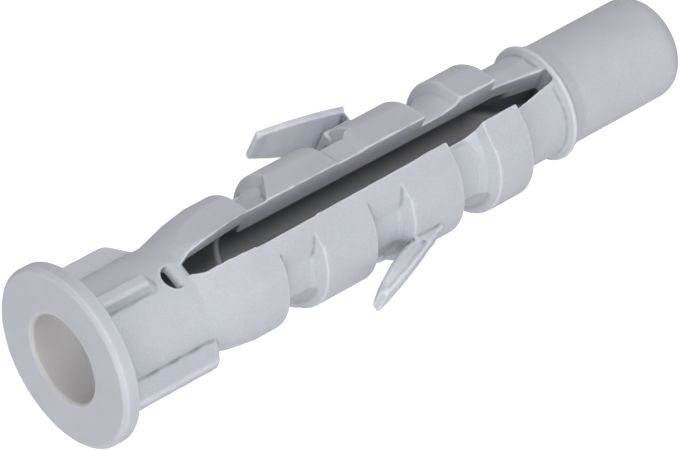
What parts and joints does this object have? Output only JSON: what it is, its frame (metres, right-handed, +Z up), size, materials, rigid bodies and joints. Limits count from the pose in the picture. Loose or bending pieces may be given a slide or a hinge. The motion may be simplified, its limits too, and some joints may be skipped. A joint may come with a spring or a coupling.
{
  "type": "nylon wall plug",
  "caption": "Slotted nylon wall plug with a round collar, screw bore, toothed expansion legs, anti-rotation wings and a plain rounded nose, lying as it comes to rest.",
  "frame": {"origin": "middle of the bounding box, on the surface the plug lies on", "axes": "+X along the plug from the collar towards the nose, +Z up from the surface"},
  "size_m": [0.0604, 0.0166, 0.0149],
  "materials": {
    "nylon": "satin moulded nylon, light grey"
  },
  "bodies": {
    "root": {"wall_plug": "nylon"}
  },
  "joints": []
}
